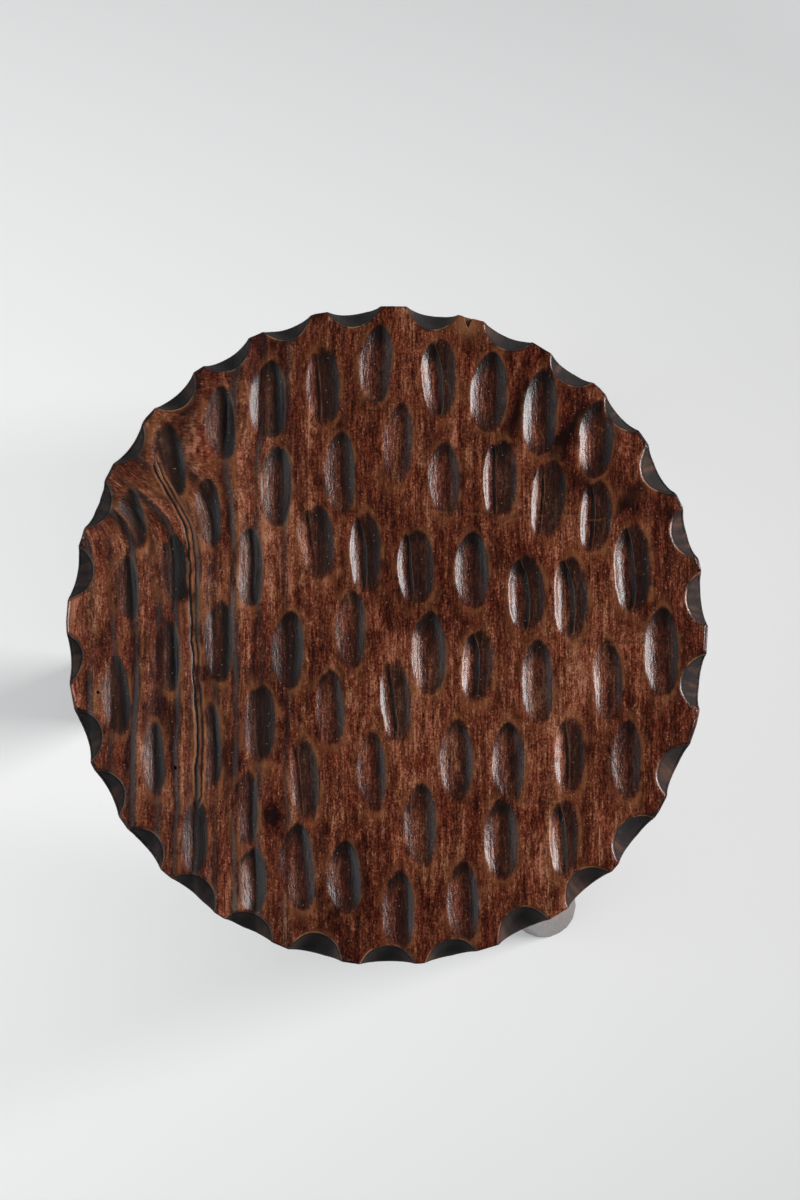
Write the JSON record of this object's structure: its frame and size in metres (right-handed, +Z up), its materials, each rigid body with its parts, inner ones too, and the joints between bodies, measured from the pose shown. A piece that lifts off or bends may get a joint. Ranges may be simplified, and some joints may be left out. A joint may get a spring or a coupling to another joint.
{
  "type": "three-legged carved wooden stool",
  "caption": "Low round stool: a thick gouged slab seat with a scalloped rim, on splayed shaved legs held in blind sockets.",
  "frame": {"origin": "on the floor, in the middle of the box that the seat and the three feet fill", "axes": "+Z up out of the seat; +Y along the grain of the seat; +X across the grain, away from the left leg"},
  "size_m": [0.3845, 0.3932, 0.43],
  "materials": {
    "stained_seat": "dark red-brown stain under satin varnish, rubbed paler on the edges",
    "stained_leg": "dark red-brown stain under satin varnish",
    "bare_wedge": "bare split hardwood"
  },
  "bodies": {
    "root": {"seat": "stained_seat", "leg_front": "stained_leg", "leg_back": "stained_leg", "leg_left": "stained_leg", "wedge_front": "bare_wedge", "wedge_back": "bare_wedge", "wedge_left": "bare_wedge"}
  },
  "joints": []
}
